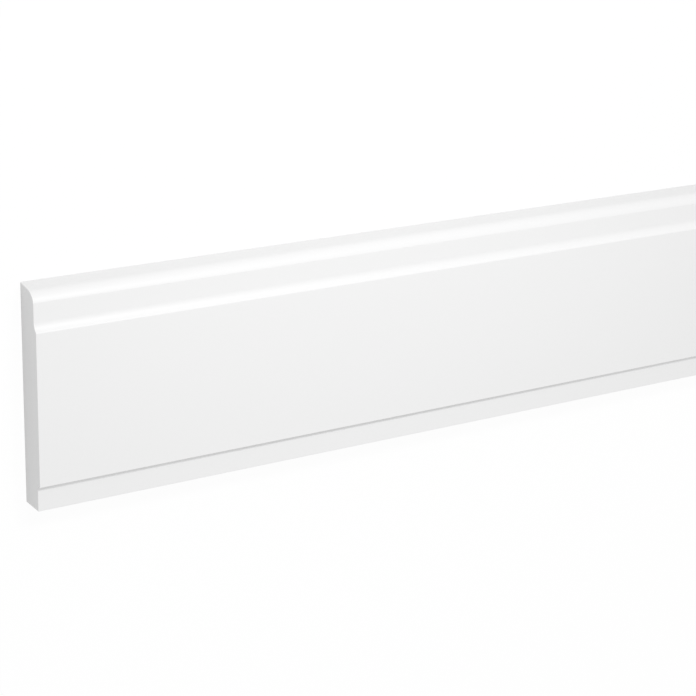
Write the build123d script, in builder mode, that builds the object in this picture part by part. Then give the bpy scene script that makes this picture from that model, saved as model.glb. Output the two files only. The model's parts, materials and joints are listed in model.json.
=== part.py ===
"""Skirting moulding: one sawn length of white extruded trim, lying on its back.

The length runs along X, the moulded top edge faces +Y and the decorated face looks up, along +Z.
The origin is under the middle of the board, on the surface that it lies on.
Sizes are in millimetres and slopes in degrees.
"""

from build123d import *
import os
from math import acos, cos, degrees, radians, sin, tan

# Overall size of the length of stock
board_length = 2000.0
board_height = 120.0
board_thickness = 18.0

# Crown along the top edge: a falling land, a full round nose and a small arris over the fascia.
# Slopes are measured down from level, with the board standing at the wall.
land_slope = 10.0
nose_radius = 7.5
nose_slope = 75.0
crown_arris_radius = 1.0

# Upper fascia, set back from the field, and the ogee that steps out to the field:
# a wide cove that runs into a tight round
fascia_setback = 2.5
fascia_height = 9.9
ogee_cove_radius = 6.3
ogee_round_radius = 1.35

# Plain strip along the floor, set back under the field's lower arris, which throws a shadow line
strip_setback = 2.8
strip_height = 14.0
field_arris_radius = 0.4
floor_edge_radius = 0.3

# Levels that follow from the sizes above
top_level = board_height / 2
bottom_level = -board_height / 2
strip_level = bottom_level + strip_height
fascia_depth = board_thickness - fascia_setback
strip_depth = board_thickness - strip_setback

# The crown runs out at the fascia, so the land takes up what nose and arris leave of the depth
nose_reach = nose_radius * (sin(radians(nose_slope)) - sin(radians(land_slope)))
crown_arris_reach = crown_arris_radius * (1 - sin(radians(nose_slope)))
land_width = fascia_depth - nose_reach - crown_arris_reach
land_fall = land_width * tan(radians(land_slope))

# The ogee's two arcs turn out and back by the angle that spans the fascia's setback
ogee_turn = degrees(acos(1 - fascia_setback / (ogee_cove_radius + ogee_round_radius)))


def heading(slope):
    """Direction of travel over the face, from the back outwards and down, at a slope below level."""
    return (-sin(radians(slope)), cos(radians(slope)))


with BuildPart() as skirting:
    with BuildSketch(Plane.YZ) as section:
        with BuildLine():
            back = Line((bottom_level, 0), (top_level, 0))
            land = Line(back @ 1, (top_level - land_fall, land_width))
            nose = JernArc(land @ 1, heading(land_slope), nose_radius, nose_slope - land_slope)
            crown_arris = JernArc(nose @ 1, heading(nose_slope), crown_arris_radius, 90 - nose_slope)
            fascia = Line(crown_arris @ 1, crown_arris @ 1 - (fascia_height, 0))
            ogee_cove = JernArc(fascia @ 1, heading(90), ogee_cove_radius, -ogee_turn)
            ogee_round = JernArc(ogee_cove @ 1, heading(90 - ogee_turn), ogee_round_radius, ogee_turn)
            field = Line(ogee_round @ 1, (strip_level, board_thickness))
            overhang = Line(field @ 1, (strip_level, strip_depth))
            strip = Line(overhang @ 1, (bottom_level, strip_depth))
            foot = Line(strip @ 1, back @ 0)
        make_face()

        # In the sketch X runs up the board's height and Y out from its back
        floor_corners = section.vertices().group_by(Axis.X)[0]
        fillet(floor_corners, floor_edge_radius)
        field_arris = section.vertices().sort_by_distance(field @ 1)[0]
        fillet(field_arris, field_arris_radius)
    extrude(amount=board_length / 2, both=True)

skirting.part.label = "skirting_board"

os.makedirs("parts", exist_ok=True)
export_step(skirting.part, "parts/skirting_board.step")
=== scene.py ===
"""Looks of a white skirting moulding: one sawn length of stock that lies on its back on a pale floor.

Lengths are in metres and angles in degrees. X runs along the board, +Y points to its moulded top edge
and +Z out of its decorated face.
"""

import json
from math import acos, ceil, cos, degrees, radians, sin

import bpy
from mathutils import Matrix, Vector


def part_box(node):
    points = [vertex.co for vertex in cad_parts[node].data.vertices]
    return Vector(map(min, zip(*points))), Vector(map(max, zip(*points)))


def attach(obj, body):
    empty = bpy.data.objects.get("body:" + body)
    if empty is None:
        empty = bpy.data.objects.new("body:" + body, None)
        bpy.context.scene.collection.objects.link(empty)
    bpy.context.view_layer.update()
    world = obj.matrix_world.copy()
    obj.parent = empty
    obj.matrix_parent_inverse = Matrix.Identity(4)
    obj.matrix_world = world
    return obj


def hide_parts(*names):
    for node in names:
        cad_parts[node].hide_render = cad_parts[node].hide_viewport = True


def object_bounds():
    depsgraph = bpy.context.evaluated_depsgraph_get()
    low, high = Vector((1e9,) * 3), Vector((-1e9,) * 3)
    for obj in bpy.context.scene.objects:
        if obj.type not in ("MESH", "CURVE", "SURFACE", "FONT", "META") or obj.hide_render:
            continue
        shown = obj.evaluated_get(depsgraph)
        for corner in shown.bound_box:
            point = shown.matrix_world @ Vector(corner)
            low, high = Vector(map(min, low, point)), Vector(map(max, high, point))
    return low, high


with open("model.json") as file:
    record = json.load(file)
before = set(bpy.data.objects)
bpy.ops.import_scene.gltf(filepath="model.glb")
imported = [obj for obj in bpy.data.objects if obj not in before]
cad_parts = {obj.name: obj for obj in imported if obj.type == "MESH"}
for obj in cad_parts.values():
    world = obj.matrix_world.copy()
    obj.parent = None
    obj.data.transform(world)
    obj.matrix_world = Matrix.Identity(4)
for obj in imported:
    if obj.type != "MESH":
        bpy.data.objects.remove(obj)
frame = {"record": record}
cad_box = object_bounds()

# Crown along the top edge. Slopes are measured down from level, with the board standing at the wall.
LAND_SLOPE = 10.0
NOSE_RADIUS = 0.0075
NOSE_SLOPE = 75.0
CROWN_ARRIS_RADIUS = 0.001

# Upper fascia, set back from the field, and the ogee that steps out to the field
FASCIA_SETBACK = 0.0025
FASCIA_HEIGHT = 0.0099
OGEE_COVE_RADIUS = 0.0063
OGEE_ROUND_RADIUS = 0.00135

# Strip along the floor, set back under the field's lower arris
STRIP_SETBACK = 0.0028
STRIP_HEIGHT = 0.014
FIELD_ARRIS_RADIUS = 0.0004
FLOOR_EDGE_RADIUS = 0.0003

# Mesh: the most that an arc turns in one facet, the hair of easing that the saw leaves at an end,
# and the turn from which an edge is sharp
FACET_TURN = 4.0
END_EASING = 0.00015
CREASE_TURN = 35.0

# Finish: the record's white; the paler white that the saw lays bare, partly painted light that lifts the
# end faces the lamps leave dim; and how rough coated and bare faces are. Tone and roughness stray to
# either side by their reach.
WHITE = frame["record"]["materials"][0]["base_color"][0]
SAWN_WHITE_AND_PAINTED_LIGHT = 0.916
TONE_REACH = 0.006
COAT_ROUGHNESS = 0.45
BARE_ROUGHNESS = 0.7
ROUGHNESS_REACH = 0.05

# Grain: how large the spots of each texture are along X, Y and Z, and how much finer detail they have
COAT_CLOUDS = (0.25, 0.05, 0.05)
COAT_GLOSS = (0.06, 0.02, 0.02)
ORANGE_PEEL = (0.004, 0.003, 0.003)
DRAWING_LINES = (0.4, 0.0012, 0.0012)
SAWN_CLOUDS = (0.002, 0.02, 0.02)
SAWN_GLOSS = (0.002, 0.004, 0.004)
SAWN_CELLS = (0.0005, 0.0005, 0.0005)
SAW_MARKS = (0.02, 0.0016, 0.03)
BACK_CLOUDS = (0.3, 0.03, 0.03)
BACK_GLOSS = (0.1, 0.01, 0.01)
BACK_CELLS = (0.001, 0.0008, 0.0008)
DIE_LINES = (1.5, 0.002, 0.002)
SOFT_DETAIL = 2.0
CRISP_DETAIL = 4.0

# Relief: how high a texture raises the surface
ORANGE_PEEL_HEIGHT = 0.00001
DRAWING_LINE_HEIGHT = 0.000002
SAWN_CELL_HEIGHT = 0.00002
SAW_MARK_HEIGHT = 0.00002
BACK_CELL_HEIGHT = 0.00001
DIE_LINE_HEIGHT = 0.00003

# Camera and lamp keep their places from the middle of the decorated face at the near end
NEAR_END = cad_box[0][0]
FACE_LEVEL = cad_box[1][2]
NEAR_FACE = Vector((NEAR_END, 0.0, FACE_LEVEL))

# Camera, where the photograph was taken from. Its sensor and lens are in millimetres.
CAMERA_PLACE = NEAR_FACE + Vector((-0.3939, 0.3589, 0.9026))
CAMERA_AIM = NEAR_FACE + Vector((0.1859, 0.0006, 0.0))
PICTURE_UP = Vector((0.1506, 0.9482, -0.2797))
SENSOR_WIDTH = 36.0
LENS = 105.76

# Light: a key from over the top edge, a lamp close to the near end, and an even pale surround
KEY_DIRECTION = Vector((0.0, 1.0, 1.0))
KEY_STRENGTH = 0.46
KEY_ANGLE = 8.0
LAMP_AIM = NEAR_FACE + Vector((0.19, 0.0, 0.0))
LAMP_PLACE = LAMP_AIM + Vector((0.0, 0.40, 0.502))
LAMP_SIZE = 0.12
LAMP_POWER = 1.1
SURROUND_STRENGTH = 0.705

# Floor: its own pale grey lights the board, and a seen floor is white but for a share of its shadows
FLOOR_SIZE = 12.0
FLOOR_GREY = 0.65
SHADOW_SHARE = 0.06


class Outline:
    """A section outline walked in the plane of height and depth, with the solid on the left.

    The slope is the heading: 0 goes out from the wall, 90 down the face, 180 back in and 270 up the back.
    """

    def __init__(self, height, depth, slope):
        self.points = [Vector((height, depth))]
        self.slope = slope

    def line(self, length):
        """Goes straight on."""
        heading = Vector((-sin(radians(self.slope)), cos(radians(self.slope))))
        self.points.append(self.points[-1] + heading * length)

    def arc(self, radius, turn):
        """Follows a round for a positive turn, a hollow for a negative one."""
        signed_radius = radius if turn > 0 else -radius
        start = self.points[-1]
        start_slope = radians(self.slope)
        facets = ceil(abs(turn) / FACET_TURN)
        for number in range(1, facets + 1):
            slope = radians(self.slope + turn * number / facets)
            travel = Vector((cos(slope) - cos(start_slope), sin(slope) - sin(start_slope)))
            self.points.append(start + travel * signed_radius)
        self.slope += turn

    def corner(self, turn):
        """Turns on the spot."""
        self.slope += turn


def rise_of_depth(radius, slope_from, slope_to):
    """How far an arc between two slopes goes out from the wall."""
    return radius * (sin(radians(slope_to)) - sin(radians(slope_from)))


def section_outline(height, thickness):
    """Points of the section, from the top of the back, down over the moulded face and in along the floor."""
    nose_depth = rise_of_depth(NOSE_RADIUS, LAND_SLOPE, NOSE_SLOPE)
    arris_depth = rise_of_depth(CROWN_ARRIS_RADIUS, NOSE_SLOPE, 90)
    land_depth = thickness - FASCIA_SETBACK - nose_depth - arris_depth
    ogee_turn = degrees(acos(1 - FASCIA_SETBACK / (OGEE_COVE_RADIUS + OGEE_ROUND_RADIUS)))
    strip_level = STRIP_HEIGHT - height / 2
    foot_depth = thickness - STRIP_SETBACK

    outline = Outline(height / 2, 0, LAND_SLOPE)
    outline.line(land_depth / cos(radians(LAND_SLOPE)))
    outline.arc(NOSE_RADIUS, NOSE_SLOPE - LAND_SLOPE)
    outline.arc(CROWN_ARRIS_RADIUS, 90 - NOSE_SLOPE)
    outline.line(FASCIA_HEIGHT)
    outline.arc(OGEE_COVE_RADIUS, -ogee_turn)
    outline.arc(OGEE_ROUND_RADIUS, ogee_turn)
    field_level = outline.points[-1].x
    outline.line(field_level - strip_level - FIELD_ARRIS_RADIUS)
    outline.arc(FIELD_ARRIS_RADIUS, 90)
    outline.line(STRIP_SETBACK - FIELD_ARRIS_RADIUS)
    outline.corner(-90)
    outline.line(STRIP_HEIGHT - FLOOR_EDGE_RADIUS)
    outline.arc(FLOOR_EDGE_RADIUS, 90)
    outline.line(foot_depth - 2 * FLOOR_EDGE_RADIUS)
    outline.arc(FLOOR_EDGE_RADIUS, 90)
    return outline.points


def drawn_in(points, distance):
    """The outline moved into the solid, with each of its sides shifted by the distance."""
    moved = []
    for index, point in enumerate(points):
        arriving = (point - points[index - 1]).normalized()
        leaving = (points[(index + 1) % len(points)] - point).normalized()
        # A point moves along its bisector, farther than the distance where its two sides turn
        inward = Vector((-arriving.y - leaving.y, arriving.x + leaving.x)).normalized()
        spread = inward.dot(Vector((-leaving.y, leaving.x)))
        moved.append(point + inward * distance / spread)
    return moved


def board_rings(low, high):
    """Rings of the section along the board, each with its place: an end is drawn in by a hair's easing."""
    section = section_outline(high[1] - low[1], high[2] - low[2])
    eased = drawn_in(section, END_EASING)
    return (
        (low[0], eased),
        (low[0] + END_EASING, section),
        (high[0] - END_EASING, section),
        (high[0], eased),
    )


def board_faces(count):
    """Faces between rings of so many points and over the two ends, each with the name of its finish."""
    stretches = ("sawn", "coat", "sawn")
    far_end = len(stretches) * count
    # The side that closes the outline is the back
    back = count - 1
    faces = []
    for ring, finish in enumerate(stretches):
        first = ring * count
        for index in range(count):
            following = (index + 1) % count
            near_edge = (first + index, first + following)
            far_edge = (first + count + following, first + count + index)
            on_back = finish == "coat" and index == back
            faces.append((near_edge + far_edge, "back" if on_back else finish))
    faces.append((tuple(reversed(range(count))), "sawn"))
    faces.append((tuple(range(far_end, far_end + count)), "sawn"))
    return faces


def build_board():
    """The whole length of stock, in its three finishes."""
    rings = board_rings(*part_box("skirting_board"))
    vertices = [(x, point.x, point.y) for x, ring in rings for point in ring]
    faces = board_faces(len(vertices) // len(rings))
    mesh = bpy.data.meshes.new("skirting_moulding")
    mesh.from_pydata(vertices, [], [corners for corners, finish in faces])

    materials = {"coat": coated_face(), "sawn": sawn_end(), "back": drawn_back()}
    for material in materials.values():
        mesh.materials.append(material)
    order = list(materials)
    for polygon, (corners, finish) in zip(mesh.polygons, faces):
        polygon.material_index = order.index(finish)
        polygon.use_smooth = True
    mesh.set_sharp_from_angle(angle=radians(CREASE_TURN))

    board = bpy.data.objects.new("skirting_moulding", mesh)
    bpy.context.collection.objects.link(board)
    flat_sides = board.modifiers.new("flat_sides", "WEIGHTED_NORMAL")
    flat_sides.keep_sharp = True
    return board


class Finish:
    """A procedural material in the making: a plain surface and the textures that vary it."""

    def __init__(self, name):
        self.material = bpy.data.materials.new(name)
        self.material.use_nodes = True
        self.tree = self.material.node_tree
        self.surface = self.tree.nodes["Principled BSDF"]
        self.place = self.tree.nodes.new("ShaderNodeTexCoord").outputs["Object"]

    def noise(self, grain, detail=SOFT_DETAIL):
        """Soft noise from 0 to 1, with the size of its spots along each axis."""
        mapping = self.tree.nodes.new("ShaderNodeMapping")
        mapping.inputs["Scale"].default_value = [1 / size for size in grain]
        self.tree.links.new(self.place, mapping.inputs["Vector"])
        texture = self.tree.nodes.new("ShaderNodeTexNoise")
        texture.inputs["Scale"].default_value = 1.0
        texture.inputs["Detail"].default_value = detail
        self.tree.links.new(mapping.outputs["Vector"], texture.inputs["Vector"])
        return texture.outputs["Fac"]

    def vary(self, socket, texture, middle, reach):
        """Lets a socket follow a texture, a reach to either side of its middle."""
        span = self.tree.nodes.new("ShaderNodeMapRange")
        span.inputs["To Min"].default_value = middle - reach
        span.inputs["To Max"].default_value = middle + reach
        self.tree.links.new(texture, span.inputs["Value"])
        self.tree.links.new(span.outputs["Result"], self.surface.inputs[socket])

    def emboss(self, texture, height):
        """Raises the surface by a texture, on top of the relief that it already has."""
        bump = self.tree.nodes.new("ShaderNodeBump")
        bump.inputs["Distance"].default_value = height
        self.tree.links.new(texture, bump.inputs["Height"])
        relief = self.surface.inputs["Normal"]
        if relief.is_linked:
            self.tree.links.new(relief.links[0].from_socket, bump.inputs["Normal"])
        self.tree.links.new(bump.outputs["Normal"], relief)


def coated_face():
    """Sprayed white primer coat: soft clouds of tone, faint orange peel and drawing lines lengthwise."""
    coat = Finish("white_coat")
    coat.vary("Base Color", coat.noise(COAT_CLOUDS), WHITE, TONE_REACH)
    coat.vary("Roughness", coat.noise(COAT_GLOSS), COAT_ROUGHNESS, ROUGHNESS_REACH)
    coat.emboss(coat.noise(ORANGE_PEEL), ORANGE_PEEL_HEIGHT)
    coat.emboss(coat.noise(DRAWING_LINES), DRAWING_LINE_HEIGHT)
    return coat.material


def sawn_end():
    """Bare foamed polymer where the saw went through: fine cells, and saw marks across the thickness."""
    bare = Finish("sawn_polymer")
    # The bare white is partly painted light: it is set paler to lift the end faces, which the lamps leave
    # dim
    bare.vary("Base Color", bare.noise(SAWN_CLOUDS), SAWN_WHITE_AND_PAINTED_LIGHT, TONE_REACH)
    bare.vary("Roughness", bare.noise(SAWN_GLOSS), BARE_ROUGHNESS, ROUGHNESS_REACH)
    bare.emboss(bare.noise(SAW_MARKS), SAW_MARK_HEIGHT)
    bare.emboss(bare.noise(SAWN_CELLS, CRISP_DETAIL), SAWN_CELL_HEIGHT)
    return bare.material


def drawn_back():
    """The plain back, with the lines of the die along the whole length."""
    back = Finish("drawn_back")
    back.vary("Base Color", back.noise(BACK_CLOUDS), WHITE, TONE_REACH)
    back.vary("Roughness", back.noise(BACK_GLOSS), BARE_ROUGHNESS, ROUGHNESS_REACH)
    back.emboss(back.noise(DIE_LINES, CRISP_DETAIL), DIE_LINE_HEIGHT)
    back.emboss(back.noise(BACK_CELLS), BACK_CELL_HEIGHT)
    return back.material


def grey(level):
    """A neutral colour, from 0 for black to 1 for white."""
    return (level, level, level, 1)


def shown_surround(tree):
    """1 for the rays that show the surround itself: to the camera, mirrored or through glass."""
    path = tree.nodes.new("ShaderNodeLightPath")
    shown = path.outputs["Is Camera Ray"]
    for ray in ("Is Glossy Ray", "Is Transmission Ray"):
        either = tree.nodes.new("ShaderNodeMath")
        either.operation = "MAXIMUM"
        tree.links.new(shown, either.inputs[0])
        tree.links.new(path.outputs[ray], either.inputs[1])
        shown = either.outputs["Value"]
    return shown


def mixed(tree, factor, first, second):
    """A mix of two shaders, by a number or by another node's output."""
    mix = tree.nodes.new("ShaderNodeMixShader")
    if isinstance(factor, float):
        mix.inputs["Fac"].default_value = factor
    else:
        tree.links.new(factor, mix.inputs["Fac"])
    tree.links.new(first.outputs[0], mix.inputs[1])
    tree.links.new(second.outputs[0], mix.inputs[2])
    return mix


def pale_floor():
    """Pale grey where it lights the board, and white with a faint shadow where it is seen."""
    material = bpy.data.materials.new("pale_floor")
    material.use_nodes = True
    tree = material.node_tree
    tree.nodes.clear()
    lighting = tree.nodes.new("ShaderNodeBsdfDiffuse")
    lighting.inputs["Color"].default_value = grey(FLOOR_GREY)
    white = tree.nodes.new("ShaderNodeEmission")
    white.inputs["Color"].default_value = grey(1)
    shadowed = tree.nodes.new("ShaderNodeBsdfDiffuse")
    shadowed.inputs["Color"].default_value = grey(1)
    seen = mixed(tree, SHADOW_SHARE, white, shadowed)
    both = mixed(tree, shown_surround(tree), lighting, seen)
    output = tree.nodes.new("ShaderNodeOutputMaterial")
    tree.links.new(both.outputs[0], output.inputs["Surface"])
    return material


def build_floor():
    """A level square under the board, with room for its whole shadow."""
    half = FLOOR_SIZE / 2
    corners = [(-half, -half, 0), (half, -half, 0), (half, half, 0), (-half, half, 0)]
    mesh = bpy.data.meshes.new("floor")
    mesh.from_pydata(corners, [], [(0, 1, 2, 3)])
    mesh.materials.append(pale_floor())
    floor = bpy.data.objects.new("floor", mesh)
    bpy.context.collection.objects.link(floor)
    return floor


def surround():
    """An even pale world: it lights the board at its strength, and is white where it is seen."""
    world = bpy.data.worlds.new("surround")
    world.use_nodes = True
    tree = world.node_tree
    tree.nodes.clear()
    lighting = tree.nodes.new("ShaderNodeBackground")
    lighting.inputs["Color"].default_value = grey(1)
    lighting.inputs["Strength"].default_value = SURROUND_STRENGTH
    backdrop = tree.nodes.new("ShaderNodeBackground")
    backdrop.inputs["Color"].default_value = grey(1)
    both = mixed(tree, shown_surround(tree), lighting, backdrop)
    output = tree.nodes.new("ShaderNodeOutputWorld")
    tree.links.new(both.outputs[0], output.inputs["Surface"])
    return world


def place_light(light, place, shines_from):
    """Puts a light at a place, shining away from a direction."""
    holder = bpy.data.objects.new(light.name, light)
    holder.location = place
    holder.rotation_euler = shines_from.to_track_quat("Z", "Y").to_euler()
    bpy.context.collection.objects.link(holder)


def build_lights():
    """The key, which throws the shadow line over the strip, and the lamp, which fades along the length."""
    key = bpy.data.lights.new("key", "SUN")
    key.energy = KEY_STRENGTH
    key.angle = radians(KEY_ANGLE)
    place_light(key, KEY_DIRECTION, KEY_DIRECTION)

    lamp = bpy.data.lights.new("lamp", "AREA")
    lamp.energy = LAMP_POWER
    lamp.size = LAMP_SIZE
    place_light(lamp, LAMP_PLACE, LAMP_PLACE - LAMP_AIM)


def build_camera():
    """A camera at its place, turned to its aim with the picture's own upright."""
    forward = (CAMERA_AIM - CAMERA_PLACE).normalized()
    right = forward.cross(PICTURE_UP).normalized()
    up = right.cross(forward)
    lens = bpy.data.cameras.new("camera")
    lens.sensor_width = SENSOR_WIDTH
    lens.lens = LENS
    camera = bpy.data.objects.new("camera", lens)
    turned = Matrix((right, up, -forward)).transposed().to_4x4()
    camera.matrix_world = Matrix.Translation(CAMERA_PLACE) @ turned
    bpy.context.collection.objects.link(camera)
    return camera


board = build_board()
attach(board, "root")
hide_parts("skirting_board")
build_floor()

scene = bpy.context.scene
scene.world = surround()
scene.camera = build_camera()
scene.view_settings.view_transform = "Standard"
build_lights()
